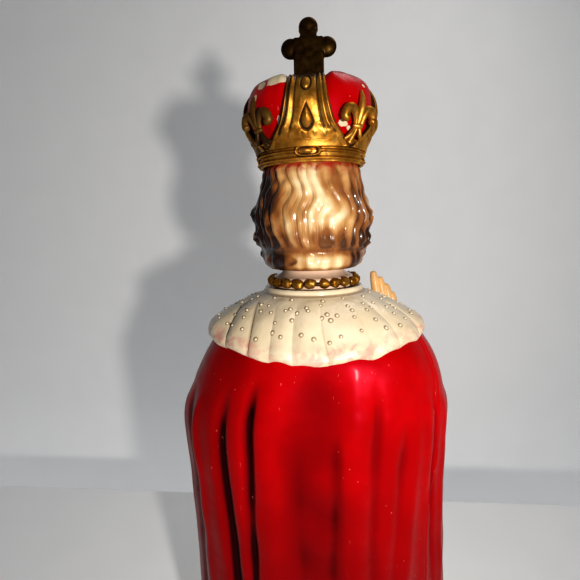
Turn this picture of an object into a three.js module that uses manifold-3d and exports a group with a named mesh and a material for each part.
// A crowned, robed figure cast in hollow sections and painted: an oval plinth carries the robe and the
// mantle,
// the head plugs into the neck of the robe, and a closed crown lifts off a peg on top of the head.
// Millimetres, +Z up, origin at the centre of the base. The figure faces -Y, so its right hand is on the -X
// side.

import * as THREE from 'three';
import { mergeVertices } from 'three/addons/utils/BufferGeometryUtils.js';
import Module from 'manifold-3d';

// ---------------------------------------------------------------- driving dimensions

const GAP = 0.3; // clearance left between two separate pieces
const FELT_THICKNESS = 3;
const PLINTH_TOP = 30;
const PLINTH_HALF = { x: 125, y: 100 };
const ROUND_POWER = 2.4; // how square the robe and mantle are in plan: 2 would be an ellipse

const MANTLE_WALL = 8;
const MANTLE_TOP = 362;
const ROBE_GAP = 1.5; // room between the mantle and the robe under it
const ROBE_WALL = 8;
const ROBE_TOP = 388;
const NECK_RADIUS = 24;
const NECK_PLUG_BOTTOM = 366;

const RIM_Z = 490; // lower edge of the crown's band
const RIM_INNER = 40.8;
const BAND_OUTER = 43;
const CROWN_SEAT_Z = 502.7; // flat top of the head, on which the crown rests
const CROWN_TOP = 561;
const TOTAL_HEIGHT = 610;

const HEAD_CENTRE_Z = 452;
const EYE = { x: 14.5, y: -41.5, z: 452, radius: 6.2 };
const PEG = { radius: 5, bottom: 484, top: 518 };

const ORB = { x: 45, y: -76, z: 298, radius: 18 };
const RIGHT_CUFF = new THREE.Vector3(-76, -72, 333);
const RIGHT_PALM = new THREE.Vector3(-71, -74.5, 357);
const LEFT_CUFF = new THREE.Vector3(64, -77, 269);
const LEFT_PALM = new THREE.Vector3(50, -78, 275.5);
const WIRE_RADIUS = 1.5;

const SCREW = { x: 66, y: 24, head: 4.5, shank: 2.2, bottom: 9, top: 52 };

// ---------------------------------------------------------------- outlines of the robe and the mantle

// Height, half width, depth behind and depth in front of the mantle's smooth outside.
const MANTLE_OUTLINE = [
  [30, 114, 87, 84], [100, 112.5, 82, 80], [160, 112, 79, 77], [203, 112.5, 78, 77], [243, 114, 78, 79],
  [273, 115.7, 77.5, 80], [292, 114.8, 76.5, 78], [307, 110.2, 75, 74], [316, 107.5, 74, 71],
    [330, 101.5, 71.5, 64],
  [340, 96, 69, 59], [350, 89, 64, 54], [360, 78, 57, 49], [370, 62, 49, 44], [380, 47, 42, 38],
    [388, 37, 36, 33],
];
// Height and how far the body leans towards +X there.
const LEAN = [[30, 0], [132, 0], [200, 1], [270, 1.9], [300, 0.4], [330, -2], [355, -2.4], [375, -0.8],
  [388, 0]];
// Height and depth in front of the robe, which is slimmer than the mantle there.
const ROBE_FRONT = [
  [30, 78], [100, 70], [160, 64], [203, 60], [243, 56], [273, 53], [300, 50], [330, 46], [350, 42],
    [370, 37], [388, 31],
];
// Height and the angle, from straight behind, at which the mantle's two front edges lie.
const MANTLE_EDGE = [[30, 116], [100, 113], [200, 112], [250, 115], [275, 121], [300, 134], [325, 148],
  [350, 160], [362, 165]];

// Vertical folds: angle from straight behind at the bottom and the top, half width in degrees, depth in mm,
// and
// the height at which the fold has faded out under the shoulder cape. Positive angles are on the right-hand
// side.
const FOLDS = [
  [-62, -64, 4.5, 3.5, 318], [-50, -54, 3.5, -2.6, 315], [-38, -37.5, 4.6, 3.4, 320],
    [-29.5, -29, 3.2, -1.4, 300],
  [-21.5, -21, 2.8, 4.8, 316], [-14.5, -15, 4, -2.2, 318], [4.5, 3, 4.6, 2.2, 250], [12, 15, 3.6, -2.2, 305],
  [12.5, 23, 3.4, 3.6, 290], [30, 33, 4.6, -1.6, 310], [38, 41, 3.6, 1.8, 270], [46, 52, 2.6, -3.2, 318],
  [51, 57.5, 3, 3.6, 318], [62, 67, 3.2, -2.6, 312], [72, 75, 4, 3.2, 310], [-76, -78, 4.5, -2.4, 312],
    [-88, -88, 4.5, 3, 305],
  [86, 88, 4.5, -2.2, 305],
];

// Smooth curve through the rows of a table: value `column` at height z.
function along(table, z, column = 1) {
  const last = table.length - 1;
  if (z <= table[0][0]) return table[0][column];
  if (z >= table[last][0]) return table[last][column];
  const i = table.findIndex((row) => row[0] > z) - 1;
  const slope = (a, b) => (table[b][column] - table[a][column]) / (table[b][0] - table[a][0]);
  const width = table[i + 1][0] - table[i][0];
  const t = (z - table[i][0]) / width;
  const start = slope(Math.max(i - 1, 0), i + 1) * width;
  const end = slope(i, Math.min(i + 2, last)) * width;
  const rise = table[i + 1][column] - table[i][column];
  return table[i][column] + t * (start + t * (3 * rise - 2 * start - end + t * (start + end - 2 * rise)));
}

const radians = THREE.MathUtils.degToRad;
const smooth = THREE.MathUtils.smoothstep;
const mix = THREE.MathUtils.lerp;

// Point of a rounded plan at an angle in degrees from straight behind, positive towards -X.
function planPoint(angle, z, halfWidth, behind, front) {
  const across = Math.sin(radians(angle));
  const back = Math.cos(radians(angle));
  const rounded = (value) => Math.sign(value) * Math.abs(value) ** (2 / ROUND_POWER);
  return new THREE.Vector3(along(LEAN, z) - halfWidth * rounded(across),
    (back > 0 ? behind : front) * rounded(back), z);
}

// Point of the mantle's smooth outside, moved in or out by `offset`.
function mantlePoint(angle, z, offset) {
  const [halfWidth, behind, front] = [1, 2, 3].map((column) => along(MANTLE_OUTLINE, z, column) + offset);
  return planPoint(angle, z, halfWidth, behind, front);
}

// Relief of the folds at an angle and a height: negative in a valley.
function foldRelief(angle, z) {
  return FOLDS.reduce((sum, [bottom, top, width, depth, fade]) => {
    const centre = mix(bottom, top, smooth(z, 60, 300));
    const across = Math.exp(-(((angle - centre) / width) ** 2));
    return sum - depth * across * (1 - smooth(z, fade - 60, fade));
  }, 0);
}

// Point of the robe's outside, which stays inside the mantle and has its own slimmer front with pleats.
function robePoint(angle, z, offset) {
  const inset = MANTLE_WALL + ROBE_GAP;
  const halfWidth = along(MANTLE_OUTLINE, z, 1) - inset + offset;
  const behind = along(MANTLE_OUTLINE, z, 2) - inset + offset;
  const front = along(ROBE_FRONT, z) + offset;
  const fromFront = 180 - Math.abs(angle);
  const pleat = 2.6 * Math.cos(radians(fromFront * 11)) * (1 - smooth(fromFront, 40, 58)) * (1 - smooth(z,
    170, 300));
  return planPoint(angle, z, halfWidth, behind, front + (offset < -GAP ? 0 : pleat));
}

// ---------------------------------------------------------------- making solids

const wasm = await Module();
wasm.setup();

// Moves every vertex of a geometry to where `place` puts its uv.
function warp(geometry, place) {
  const { position, uv } = geometry.attributes;
  for (let i = 0; i < position.count; i += 1) {
    const p = place(uv.getX(i) % 1, uv.getY(i));
    position.setXYZ(i, p.x, p.y, p.z);
  }
  return geometry;
}

// A closed body of revolution whose rings are placed by `place(turn, row)`; turn and row run from 0 to 1.
function ringBody(rows, segments, place) {
  const dummy = Array.from({ length: rows + 1 }, (_, i) => new THREE.Vector2(1, i));
  return warp(new THREE.LatheGeometry(dummy, segments), place);
}

// A closed sheet: `place(u, v, w)` gives a point, with w 0 on the inside and 1 on the outside.
function sheetBody(columns, rows, place) {
  const geometry = new THREE.BoxGeometry(1, 1, 1, columns, rows, 1);
  const { position } = geometry.attributes;
  for (let i = 0; i < position.count; i += 1) {
    const u = Math.round((position.getX(i) + 0.5) * columns) / columns;
    const v = Math.round((position.getY(i) + 0.5) * rows) / rows;
    const p = place(u, v, position.getZ(i) > 0 ? 1 : 0);
    position.setXYZ(i, p.x, p.y, p.z);
  }
  return geometry;
}

// A geometry as a manifold-3d solid with its faces pointing out.
function solid(geometry) {
  const bare = new THREE.BufferGeometry();
  bare.setAttribute('position', geometry.getAttribute('position'));
  bare.setIndex(geometry.getIndex());
  const merged = mergeVertices(bare, 1e-4);
  const build = (triVerts) => new wasm.Manifold(
    new wasm.Mesh({ numProp: 3, vertProperties: merged.attributes.position.array, triVerts }),
  );
  const triVerts = new Uint32Array(merged.index.array);
  const made = build(triVerts);
  return made.volume() > 0 ? made : build(triVerts.map((_, i) => triVerts[i - (i % 3) + 2 - (i % 3)]));
}

const joined = (first, ...rest) => rest.reduce((sum, next) => sum.add(next), first);
const cutBy = (first, ...rest) => rest.reduce((sum, next) => sum.subtract(next), first);

// A body of revolution about a vertical axis: rows of [radius, height], from the axis back to the axis or
// closed.
function turned(profile, segments, { x = 0, y = 0, squash = 1 } = {}) {
  const geometry = new THREE.LatheGeometry(profile.map(([r, z]) => new THREE.Vector2(r, z)), segments);
  return solid(warp(geometry, (u, v) => {
    const [r, z] = profile[Math.round(v * (profile.length - 1))];
    const turn = u * 2 * Math.PI;
    return new THREE.Vector3(x + r * Math.cos(turn), y + r * squash * Math.sin(turn), z);
  }));
}

const ball = (x, y, z, rx, ry = rx, rz = rx, segments = 20) => solid(
  new THREE.SphereGeometry(1, segments, Math.round(segments * 0.6)).rotateX(Math.PI / 2).scale(rx, ry,
    rz).translate(x, y, z),
);

// A round bar between two points.
function bar(from, to, radius, segments = 12, endRadius = radius) {
  const axis = new THREE.Vector3().subVectors(to, from);
  const geometry = new THREE.CylinderGeometry(endRadius, radius, axis.length(), segments);
  const turn = new THREE.Quaternion().setFromUnitVectors(new THREE.Vector3(0, 1, 0),
    axis.clone().normalize());
  geometry.applyQuaternion(turn);
  geometry.translate(...new THREE.Vector3().addVectors(from, to).multiplyScalar(0.5).toArray());
  return solid(geometry);
}

// A tube or a rounded limb along a curve: rows of [share of the length, radius], closed on itself or at its
// ends.
function swept(points, profile, segments, flatten = 1) {
  const curve = new THREE.CatmullRomCurve3(points);
  const place = (u, v) => {
    const [share, radius] = profile[Math.round(v * (profile.length - 1))];
    const tangent = curve.getTangentAt(THREE.MathUtils.clamp(share, 0, 1));
    const side = new THREE.Vector3().crossVectors(tangent, new THREE.Vector3(0, 1, 0.2)).normalize();
    const up = new THREE.Vector3().crossVectors(side, tangent).normalize();
    const turn = u * 2 * Math.PI;
    return curve.getPointAt(THREE.MathUtils.clamp(share, 0, 1))
      .addScaledVector(side, radius * Math.cos(turn))
      .addScaledVector(up, radius * flatten * Math.sin(turn));
  };
  return solid(ringBody(profile.length - 1, segments, place));
}

// ---------------------------------------------------------------- materials

const finish = (color, roughness, metalness = 0) => new THREE.MeshStandardMaterial({ color, roughness,
  metalness });
const RED = finish(0xb00008, 0.3);
const CREAM = finish(0xe3d6b0, 0.32);
const GOLD = finish(0x9a6a1c, 0.35, 0.7);
const HAIR = finish(0xb98d5c, 0.3);
const FLESH = finish(0xd9a36b, 0.55);
const GLASS = finish(0x4a3324, 0.1);
const WOOD = finish(0xb58a5a, 0.7);
const STEEL = finish(0x8c8c8c, 0.4, 1);
const FELT = finish(0x1f4028, 0.95);

const figure = new THREE.Group();
const crown = new THREE.Group();
figure.add(crown);

function addPiece(group, name, material, made) {
  const { vertProperties, triVerts, numProp, numVert } = made.getMesh();
  const position = new Float32Array(numVert * 3);
  for (let i = 0; i < numVert; i += 1) position.set(vertProperties.subarray(i * numProp, i * numProp + 3),
    i * 3);
  const geometry = new THREE.BufferGeometry();
  geometry.setAttribute('position', new THREE.BufferAttribute(position, 3));
  geometry.setIndex(new THREE.BufferAttribute(triVerts, 1));
  geometry.computeVertexNormals();
  const mesh = new THREE.Mesh(geometry, material);
  mesh.name = name;
  group.add(mesh);
}

// ---------------------------------------------------------------- base

// The plinth is an oval moulding with a counterbored hole for each of the four screws.
function makeBase() {
  const { x: half, y: halfDepth } = PLINTH_HALF;
  const squash = halfDepth / half;
  addPiece(figure, 'base_felt', FELT, turned([[0, 0], [half - 4, 0], [half - 4, FELT_THICKNESS],
    [0, FELT_THICKNESS]], 36, { squash }));

  const moulding = [[0, FELT_THICKNESS], [half, FELT_THICKNESS], [half, 11], [half - 3, 14],
    [half - 4.5, 17], [half - 3.5, 20.5]];
  const lip = [[half - 1.5, 22.5], [half - 1.5, 27], [half - 3, PLINTH_TOP], [0, PLINTH_TOP]];
  const holes = screwPlaces().flatMap(([x, y]) => [
    turned([[0, 2], [SCREW.head + 1, 2], [SCREW.head + 1, SCREW.bottom + 3], [0, SCREW.bottom + 3]], 12,
      { x, y }),
    turned([[0, 2], [SCREW.shank + GAP, 2], [SCREW.shank + GAP, PLINTH_TOP + 2], [0, PLINTH_TOP + 2]], 12,
      { x, y }),
  ]);
  addPiece(figure, 'plinth', CREAM, cutBy(turned([...moulding, ...lip], 32, { squash }), ...holes));
}

const screwPlaces = () => [-1, 1].flatMap((side) => [-1, 1].map((end) => [side * SCREW.x, end * SCREW.y]));

function makeScrews() {
  screwPlaces().forEach(([x, y], i) => {
    const { head, shank, bottom, top } = SCREW;
    const profile = [[0, bottom], [head, bottom], [head, bottom + 2.7], [shank, bottom + 2.7],
      [shank, top - 6], [0, top]];
    addPiece(figure, `plinth_screw_${i + 1}`, STEEL, turned(profile, 10, { x, y }));
  });
}

// Wooden blocks bonded inside the hollow robe, which the screws bite into.
function makeBlocks(hollow) {
  const size = { x: 60, y: 90, z: 40 };
  [['left', 1], ['right', -1]].forEach(([name, side]) => {
    const box = new THREE.BoxGeometry(size.x, size.y, size.z);
    box.translate(side * (SCREW.x + 16), 0, PLINTH_TOP + GAP + size.z / 2);
    const holes = screwPlaces().filter(([x]) => x * side > 0).map(([x, y]) => {
      const hole = SCREW.shank + 0.05;
      return turned([[0, 20], [hole, 20], [hole, SCREW.top + GAP], [0, SCREW.top + GAP]], 10, { x, y });
    });
    addPiece(figure, `mounting_block_${name}`, WOOD, cutBy(solid(box).intersect(hollow), ...holes));
  });
}

// ---------------------------------------------------------------- robe, mantle and shoulder cape

// The space that a plan fills between two heights, as one solid block.
function filled(point, heights, segments, offset) {
  const last = heights.length + 1;
  return solid(ringBody(last, segments, (u, v) => {
    const row = Math.round(v * last);
    const z = heights[THREE.MathUtils.clamp(row - 1, 0, heights.length - 1)];
    return row === 0 || row === last ? new THREE.Vector3(0, 0, z) : point(u * 360 - 180, z, offset);
  }));
}

const ROBE_HEIGHTS = [110, 180, 235, 275, 305, 330, 350, 368, 380, ROBE_TOP];
const ROBE_SEGMENTS = 48;

// The robe grown by the gap that other pieces keep from it.
const robeEnvelope = () => filled(robePoint, [20, ...ROBE_HEIGHTS], ROBE_SEGMENTS, GAP);

function makeRobe() {
  const bottom = PLINTH_TOP + GAP;
  const outside = filled(robePoint, [bottom, ...ROBE_HEIGHTS], ROBE_SEGMENTS, 0);
  const hollow = filled(robePoint, [bottom - 1, 120, 225, 290, 330, 350, 364], 32, -ROBE_WALL);
  const socket = turned([[0, 340], [NECK_RADIUS + GAP, 340], [NECK_RADIUS + GAP, 400], [0, 400]], 32);
  addPiece(figure, 'robe', CREAM, cutBy(outside, hollow, socket));
  makeBlocks(filled(robePoint, [bottom, 100], 32, -ROBE_WALL - GAP));
}

// The mantle is a thick sheet round the back and sides, with a raised border along its two front edges.
function mantleSheet(grow) {
  const rows = MANTLE_HEIGHTS.length - 1;
  return solid(sheetBody(MANTLE_COLUMNS, rows, (u, v, w) => {
    const z = MANTLE_HEIGHTS[Math.round(v * rows)];
    const edge = along(MANTLE_EDGE, z) + grow;
    const angle = mix(-edge, edge, u);
    if (w === 0) return mantlePoint(angle, z, -MANTLE_WALL - grow);
    const border = 3 * (1 - smooth(edge - Math.abs(angle), 8, 15));
    return mantlePoint(angle, z, foldRelief(angle, z) * (1 - smooth(Math.abs(angle), 88,
      100)) + border + grow);
  }));
}

const MANTLE_HEIGHTS = [PLINTH_TOP + GAP, 85, 150, 205, 245, 275, 297, 316, 332, 347, MANTLE_TOP];
const MANTLE_COLUMNS = 52;

function makeMantle() {
  addPiece(figure, 'mantle', RED, mantleSheet(0));
}

// Radius share and height of the shoulder cape's skin, from the neck to the hem; then back underneath.
const CAPE_SIDE = [
  [38, 388], [42, 390.2], [43.5, 385.8], [53, 382.7], [64, 377.6], [76, 371.4], [87, 365.2],
    [93.2, 358.5], [94, 352.5],
  [91, 351], [84, 357.5], [74, 364], [63, 370.5], [50, 377.5], [38, 384],
];
const CAPE_BACK = [
  [38, 388], [42, 390.2], [43.5, 385.8], [51, 382], [59, 375.5], [66, 366.5], [71.5, 355], [76, 344],
    [75, 339.5],
  [71.5, 341.5], [66.5, 353], [60, 363], [52.5, 372.5], [45, 379.5], [38, 384],
];

// Ruffle of the cape at a turn: 1 on a crest and -1 in a valley.
const ruffle = (angle) => Math.cos(radians(angle * 15 + 20 * Math.sin(radians(angle * 3))));

function makeShoulderCape() {
  const rows = CAPE_SIDE.length;
  const made = solid(ringBody(rows, 60, (u, v) => {
    const angle = u * 360 - 180;
    const row = Math.round(v * rows) % rows;
    const back = Math.cos(radians(angle)) ** 2;
    const [r, z] = [0, 1].map((k) => mix(CAPE_SIDE[row][k], CAPE_BACK[row][k], back));
    const low = THREE.MathUtils.clamp((r - 45) / 45, 0, 1);
    const out = r + 1.5 * low * ruffle(angle);
    return new THREE.Vector3(-out * Math.sin(radians(angle)), out * Math.cos(radians(angle)), z);
  }));
  const keepOut = [robeEnvelope(), mantleSheet(GAP), claspBar(-GAP, 20, 10.5, 10.5)];
  addPiece(figure, 'shoulder_cape', CREAM, cutBy(made, ...keepOut));
}

// ---------------------------------------------------------------- collar, clasp

// A closed string of beads round the neck, made as one ring whose section swells at each bead.
function makeBeadCollar() {
  const [ring, bead, count, perBead, sides] = [36.8, 4.3, 23, 3, 6];
  const centre = 395;
  const made = solid(ringBody(sides, count * perBead, (u, v) => {
    const swell = bead * (0.6 + 0.4 * Math.sin(((u * count) % 1) * Math.PI));
    const turn = u * 2 * Math.PI;
    const round = (v % 1) * 2 * Math.PI;
    const radius = ring + swell * Math.cos(round);
    return new THREE.Vector3(radius * Math.cos(turn), radius * Math.sin(turn),
      centre + swell * Math.sin(round));
  }));
  addPiece(figure, 'bead_collar', GOLD, made);
}

// The round clasp at the throat lies in a shallow seat in the shoulder cape.
const CLASP_SEAT = new THREE.Vector3(0, -65.5, 365.6);
const CLASP_OUT = new THREE.Vector3(0, -0.83, 0.56);
const claspBar = (from, to, radius, endRadius) => bar(
  CLASP_SEAT.clone().addScaledVector(CLASP_OUT, from), CLASP_SEAT.clone().addScaledVector(CLASP_OUT, to),
    radius, 20, endRadius,
);

function makeClasp() {
  const boss = CLASP_SEAT.clone().addScaledVector(CLASP_OUT, 4.5);
  addPiece(figure, 'mantle_clasp', GOLD, joined(claspBar(0, 4, 10, 8.8), ball(boss.x, boss.y, boss.z, 4.2,
    4.2, 4.2, 12)));
}

// ---------------------------------------------------------------- arms and hands

const RIGHT_ARM = [new THREE.Vector3(-86, -40, 262), new THREE.Vector3(-90, -66, 287),
  new THREE.Vector3(-81, -71, 312), RIGHT_CUFF];
const LEFT_ARM = [new THREE.Vector3(88, -38, 248), new THREE.Vector3(88, -64, 258),
  new THREE.Vector3(76, -74, 265), LEFT_CUFF];

// A bell-shaped sleeve with a rolled cuff, a recess that takes the wrist and a hole for the wire in the
// wrist.
function sleeve(arm, palm) {
  const outside = [[0, 0], [0, 14], [0.2, 18], [0.45, 19.5], [0.7, 20.5], [0.86, 20], [0.9, 21.5],
    [0.97, 22], [1, 20.5]];
  const recess = [[1, 15], [0.8, 12], [0.74, 0]];
  const made = swept(arm, [...outside, ...recess], 20, 0.86);
  const wrist = bar(arm[3].clone().lerp(palm, -0.42), palm, 8.2, 12);
  return cutBy(made, wrist, wireAlong(arm, palm, GAP), robeEnvelope(), mantleSheet(GAP));
}

// The wire that runs from inside a sleeve into the palm, grown by `grow`.
function wireAlong(arm, palm, grow) {
  const at = (share) => arm[1].clone().lerp(palm, share);
  return bar(at(0.3 - 0.01 * grow), at(0.9 + 0.01 * grow), WIRE_RADIUS + grow, 8);
}

// A finger: a rounded limb of the given radius through its joints.
function finger(points, radius) {
  const profile = [[0, 0], [0, radius * 0.9], [0.35, radius], [0.8, radius * 0.85], [0.95, radius * 0.5],
    [1, 0]];
  return swept(points.map((p) => new THREE.Vector3(...p)), profile, 8);
}

// The right hand is raised, with its fingers together in a slanting row and the thumb in front of them.
function makeRightHand() {
  const palm = ball(RIGHT_PALM.x, RIGHT_PALM.y, RIGHT_PALM.z, 10.5, 6, 13.5, 12);
  const wrist = bar(RIGHT_CUFF.clone().add(new THREE.Vector3(1.2, 0.6, -7)), RIGHT_PALM, 7.2, 12, 8);
  const digits = [
    finger([[-64, -74, 358], [-60.5, -75, 376], [-58.2, -75.5, 393.5]], 4.2),
    finger([[-70.2, -74, 358], [-66.8, -75, 374], [-64.3, -75.5, 387.5]], 4.2),
    finger([[-75.6, -74, 358], [-73, -75, 369], [-70.4, -75.5, 380]], 4.1),
    finger([[-80, -74, 354], [-78.6, -75, 362], [-76.4, -75.5, 371.5]], 3.8),
    finger([[-63, -75, 354], [-58.5, -79, 362], [-59, -82, 371]], 3.9),
  ];
  const wire = wireAlong(RIGHT_ARM, RIGHT_PALM, GAP);
  addPiece(figure, 'right_hand', FLESH, cutBy(joined(palm, wrist, ...digits), wire));
}

// The left hand lies palm up with its fingers closed round the orb.
function makeLeftHand(orb) {
  const palm = ball(LEFT_PALM.x - 1, LEFT_PALM.y, LEFT_PALM.z, 14, 11, 6.5, 12);
  const wrist = bar(new THREE.Vector3(62.5, -77, 270.5), LEFT_PALM, 7.2, 12, 8);
  const digits = [
    finger([[44, -84, 276], [38, -94, 282], [35, -95.5, 293]], 3.7),
    finger([[39, -80, 275], [28, -88, 281], [24, -89.5, 292]], 3.8),
    finger([[38, -75, 275], [26, -78, 280], [22, -78, 290]], 3.6),
    finger([[53, -86, 276], [51, -94, 282], [51, -95.8, 292]], 3.4),
  ];
  const wire = wireAlong(LEFT_ARM, LEFT_PALM, GAP);
  addPiece(figure, 'left_hand', FLESH, cutBy(joined(palm, wrist, ...digits), wire, orb, robeEnvelope()));
}

function makeArms() {
  addPiece(figure, 'right_sleeve', CREAM, sleeve(RIGHT_ARM, RIGHT_PALM));
  addPiece(figure, 'left_sleeve', CREAM, sleeve(LEFT_ARM, LEFT_PALM));
  addPiece(figure, 'right_hand_wire', STEEL, wireAlong(RIGHT_ARM, RIGHT_PALM, 0));
  addPiece(figure, 'left_hand_wire', STEEL, wireAlong(LEFT_ARM, LEFT_PALM, 0));
}

// ---------------------------------------------------------------- orb

function makeOrb() {
  const { x, y, z, radius } = ORB;
  const bead = ball(x, y, z, radius, radius, radius, 16);
  const belt = turned([[radius - 3, z - 2.2], [radius + 1, z - 2.2], [radius + 1, z + 2.2],
    [radius - 3, z + 2.2], [radius - 3, z - 2.2]], 16, { x, y });
  const stand = turned([[0, z + radius - 3], [4.5, z + radius - 3], [3.5, z + radius + 2.5],
    [0, z + radius + 2.5]], 12, { x, y });
  const tenon = turned([[0, z + radius - 8], [1.8, z + radius - 8], [1.8, z + radius + 4],
    [0, z + radius + 4]], 8, { x, y });
  addPiece(figure, 'orb', GOLD, cutBy(joined(bead, belt, stand), tenon));
  addPiece(figure, 'orb_cross', GOLD, crossSolid({ x, y, z: z + radius + 2.5 + GAP, height: 17, span: 14,
    thickness: 4, tenon: 8, tenonRadius: 1.5 }));
  return ball(x, y, z, radius + 1.4, radius + 1.4, radius + 1.4, 16);
}

// A cross with round-ended arms and a foot that spreads downwards, on a round tenon.
function crossSolid({ x, y, z, height, span, thickness, tenon, tenonRadius }) {
  const unit = height / 47;
  const [armLobe, topLobe, armZ] = [8.1 * unit, 7.9 * unit, 23.4 * unit];
  const reach = span / 2 - armLobe;
  const stem = slab([[-12.6, 0], [12.6, 0], [12.2, 22], [7, 32], [7, 38], [-7, 38], [-7, 32],
    [-12.2, 22]], unit, thickness);
  const arms = slab([[-reach / unit, 16], [reach / unit, 16], [reach / unit, 31], [-reach / unit, 31]],
    unit, thickness * 0.9);
  const lobe = (across, up, radius) => new THREE.CylinderGeometry(radius, radius, thickness * 0.94,
    20).translate(across, 0, up);
  const lobes = [lobe(reach, armZ, armLobe), lobe(-reach, armZ, armLobe), lobe(0, height - topLobe, topLobe)];
  const place = (geometry) => solid(geometry.translate(x, y, z));
  const peg = [[0, z - tenon + 2], [tenonRadius, z - tenon + 2], [tenonRadius, z + 2], [0, z + 2]];
  return joined(place(stem), place(arms), ...lobes.map(place), turned(peg, 10, { x, y }));
}

// A flat plate standing in the XZ plane, centred on Y: outline points times `unit`.
function slab(points, unit, thickness) {
  const outline = new THREE.Shape(points.map(([across, up]) => new THREE.Vector2(across * unit, up * unit)));
  const plate = new THREE.ExtrudeGeometry(outline, { depth: thickness, bevelEnabled: false });
  return plate.translate(0, 0, -thickness / 2).rotateX(Math.PI / 2);
}

// ---------------------------------------------------------------- head

function makeHead() {
  const hair = ball(0, 3, HEAD_CENTRE_Z, 49, 45, 58, 22);
  const roll = turned([[0, 407], [34, 405.5], [42, 411], [45, 420], [44, 432], [0, 440]], 24,
    { y: 4, squash: 0.94 });
  const face = ball(0, -15, HEAD_CENTRE_Z - 2, 35, 37, 44, 18);
  const nose = ball(0, -52, 445, 4.5, 6, 6.5, 10);
  const flange = [[NECK_RADIUS, ROBE_TOP + GAP], [32, ROBE_TOP + GAP], [32, 396], [27, 399],
    [NECK_RADIUS, 403]];
  const neck = turned([[0, NECK_PLUG_BOTTOM], [NECK_RADIUS, NECK_PLUG_BOTTOM], ...flange,
    [NECK_RADIUS, 420], [0, 420]], 24);
  const seat = turned([[0, 470], [RIM_INNER - 1, 470], [RIM_INNER - 1, CROWN_SEAT_Z], [0, CROWN_SEAT_Z]], 30);
  const above = turned([[0, CROWN_SEAT_Z], [90, CROWN_SEAT_Z], [90, 540], [0, 540]], 8);
  const besideSeat = cutBy(
    turned([[0, RIM_Z - 1], [90, RIM_Z - 1], [90, 540], [0, 540]], 8),
    turned([[0, 400], [RIM_INNER - 1, 400], [RIM_INNER - 1, 550], [0, 550]], 30),
  );
  const curls = [-1, 1].flatMap((side) => [
    ball(side * 42, -4, 444, 9.5, 11, 15, 8),
    ball(side * 39, 6, 424, 9, 11, 12, 8),
    ball(side * 38, -17, 452, 9, 9, 20, 8),
    ball(side * 35, -20, 428, 8, 8, 13, 8),
  ]);
  const bore = turned([[0, NECK_PLUG_BOTTOM - 5], [14, NECK_PLUG_BOTTOM - 5], [14, 425], [28, 440],
    [30, 460], [20, 478], [0, 480]], 16);
  const pegHole = turned([[0, PEG.bottom - GAP], [PEG.radius + 0.1, PEG.bottom - GAP],
    [PEG.radius + 0.1, 520], [0, 520]], 14);
  const sockets = [-1, 1].flatMap((side) => [
    ball(side * EYE.x, EYE.y, EYE.z, EYE.radius + GAP, EYE.radius + GAP, EYE.radius + GAP, 12),
    ball(side * EYE.x, EYE.y - 10, EYE.z, 8.5, 6.5, 5, 10),
  ]);
  const whole = joined(hair, roll, face, nose, neck, seat, ...curls);
  addPiece(figure, 'head', HAIR, cutBy(whole, above, besideSeat, bore, pegHole, ...sockets));

  [['left', 1], ['right', -1]].forEach(([name, side]) => {
    addPiece(figure, `${name}_eye`, GLASS, ball(side * EYE.x, EYE.y, EYE.z, EYE.radius, EYE.radius,
      EYE.radius, 12));
  });
  addPiece(figure, 'crown_peg', WOOD, turned([[0, PEG.bottom], [PEG.radius, PEG.bottom],
    [PEG.radius, PEG.top - 2], [PEG.radius - 2, PEG.top], [0, PEG.top]], 14));
}

// ---------------------------------------------------------------- crown

// Radius and height of the red cap's dome, from the floor up to the top.
const DOME = [
  [42.5, 503], [46.5, 511], [50.3, 521], [52.8, 533], [52.6, 541], [50.3, 548], [45.5, 553.5],
    [36, 557.8], [22, 561], [0, 562.5],
];
const CAP_WALL = 8;
const TENON_HOLE = [[0, CROWN_TOP - 10], [3.4, CROWN_TOP - 10], [3.4, CROWN_TOP + 10], [0, CROWN_TOP + 10]];

// The dome grown outwards by `grow`.
const grownDome = (grow) => DOME.map(([r, z], i) => {
  const lean = 1.45 * (i / (DOME.length - 1)) ** 2;
  return [r === 0 ? 0 : r + grow * Math.cos(lean), z + grow * Math.sin(lean)];
});

// The cap puffs up between the arches, which lie in channels across it.
function makeCrownCap() {
  const floorTop = 503 + 4;
  const inside = grownDome(-CAP_WALL).filter(([, z], i) => z > floorTop + 2 && i !== 2);
  const pegHole = PEG.radius + 0.6;
  const profile = [...grownDome(0).reverse(), [pegHole, 503], [pegHole, floorTop], [32, floorTop], ...inside];
  const channels = [0, 90, 180, 270].map((turn) => archSolid(radians(turn), GAP, 12));
  addPiece(crown, 'crown_cap', RED, cutBy(turned(profile, 36), turned(TENON_HOLE, 10), ...channels,
    crossingSolid(GAP)));
}

// Half width of an arch at a height: it flares where it grows out of the band.
const ARCH_HALF_WIDTH = [[498, 33], [505, 29], [511, 25], [518, 20.5], [530, 17], [542, 14.8],
  [552, 13.6], [560, 13]];
const ARCH_PATH = [
  [43.8, 501], [45, 505.5], [47.5, 511], [51, 521], [52.4, 531], [51.2, 538.5], [47.2, 545.3],
    [42, 549.8], [33, 553.6], [19.5, 556.5],
  [10, 557.3],
];

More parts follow.
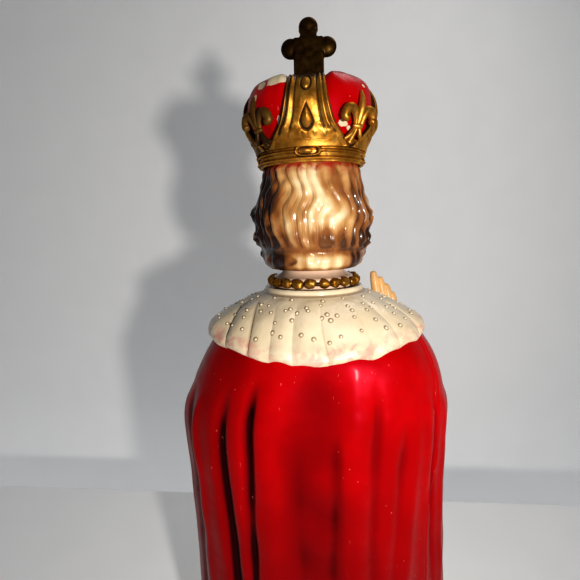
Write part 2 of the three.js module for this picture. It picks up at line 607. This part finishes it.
// One arch: a strip that follows the cap from the band to the top, thicker along its two edges. It can be
// made larger
// by `grow`, and by `extra` on its outside, for the channel that it lies in.
function archSolid(turn, grow = 0, extra = 0) {
  const rows = ARCH_PATH.length - 1;
  return solid(sheetBody(5, rows, (u, v, w) => {
    const [r, z] = ARCH_PATH[Math.round(v * rows)];
    const lean = 1.45 * v ** 2.2;
    const thick = (3.2 + 1.1 * Math.abs(2 * u - 1)) * (1 - 0.5 * smooth(v, 0.7, 1));
    const proud = w ? thick + extra : -grow;
    const share = Math.min((along(ARCH_HALF_WIDTH, z) + grow) / r, 0.705);
    const across = Math.asin(share * Math.abs(2 * u - 1)) * Math.sign(2 * u - 1);
    const out = r + proud * Math.cos(lean);
    return new THREE.Vector3(out * Math.cos(turn + across), out * Math.sin(turn + across),
      z + proud * Math.sin(lean));
  }));
}

// The round boss where the arches meet, under the cross.
function crossingSolid(grow = 0) {
  const [radius, bottom] = [13 + grow, CROWN_TOP - 5 - grow];
  return turned([[0, bottom], [radius, bottom], [radius, CROWN_TOP + grow], [11.5, CROWN_TOP + 1.6],
    [0, CROWN_TOP + 1.6]], 20);
}

// A lily-shaped ornament that stands on the band between two arches, made of flattened petals.
function lilySolid(turn) {
  const petal = (across, z, halfWidth, halfHeight, radius = 55.8, thick = 2.5) => solid(
    new THREE.SphereGeometry(1, 7, 4).rotateX(Math.PI / 2).scale(thick, halfWidth, halfHeight)
      .translate(radius, across, z).rotateZ(radians(turn)),
  );
  return joined(petal(0, 523, 3.8, 16), petal(-7.5, 520, 5.2, 7), petal(7.5, 520, 5.2, 7),
    petal(0, 508.5, 5, 8, 51, 4.8));
}

function makeCrownFrame() {
  const arches = [0, 90, 180, 270].map((turn) => archSolid(radians(turn)));
  const rolls = [[0, 0], [1.6, 2.3], [0.4, 5], [1.3, 8], [0.6, 11], [3, 13.6], [4.2, 16], [2.2, 17.6]];
  const outside = rolls.map(([out, up]) => [BAND_OUTER + out, RIM_Z + up]);
  const band = turned([[RIM_INNER, RIM_Z], ...outside, [44.6, 506.5], [43.1, 502.9], [RIM_INNER, 502.9],
    [RIM_INNER, RIM_Z]], 36);
  const lilies = [45, 135, 225, 315].map(lilySolid);
  const stones = [0, 90, 180, 270].map((turn) => {
    const at = [(BAND_OUTER + 0.3) * Math.cos(radians(turn)),
      (BAND_OUTER + 0.3) * Math.sin(radians(turn)), RIM_Z + 6.5];
    return turn % 180 ? ball(...at, 8, 3, 3.4, 8) : ball(...at, 3, 8, 3.4, 8);
  });
  const crossing = cutBy(crossingSolid(), turned(TENON_HOLE, 10));
  addPiece(crown, 'crown_frame', GOLD, joined(band, ...arches, crossing, ...lilies, ...stones));
}

function makeCrownCross() {
  const foot = CROWN_TOP + 1.6 + GAP;
  const height = TOTAL_HEIGHT - foot;
  addPiece(crown, 'crown_cross', GOLD, crossSolid({ x: 0, y: 0, z: foot, height, span: 46, thickness: 10,
    tenon: 10, tenonRadius: 3 }));
}

// ---------------------------------------------------------------- assembly

makeBase();
makeScrews();
makeRobe();
makeMantle();
makeShoulderCape();
makeBeadCollar();
makeClasp();
const orbRoom = makeOrb();
makeArms();
makeRightHand();
makeLeftHand(orbRoom);
makeHead();
makeCrownCap();
makeCrownFrame();
makeCrownCross();

export default figure;
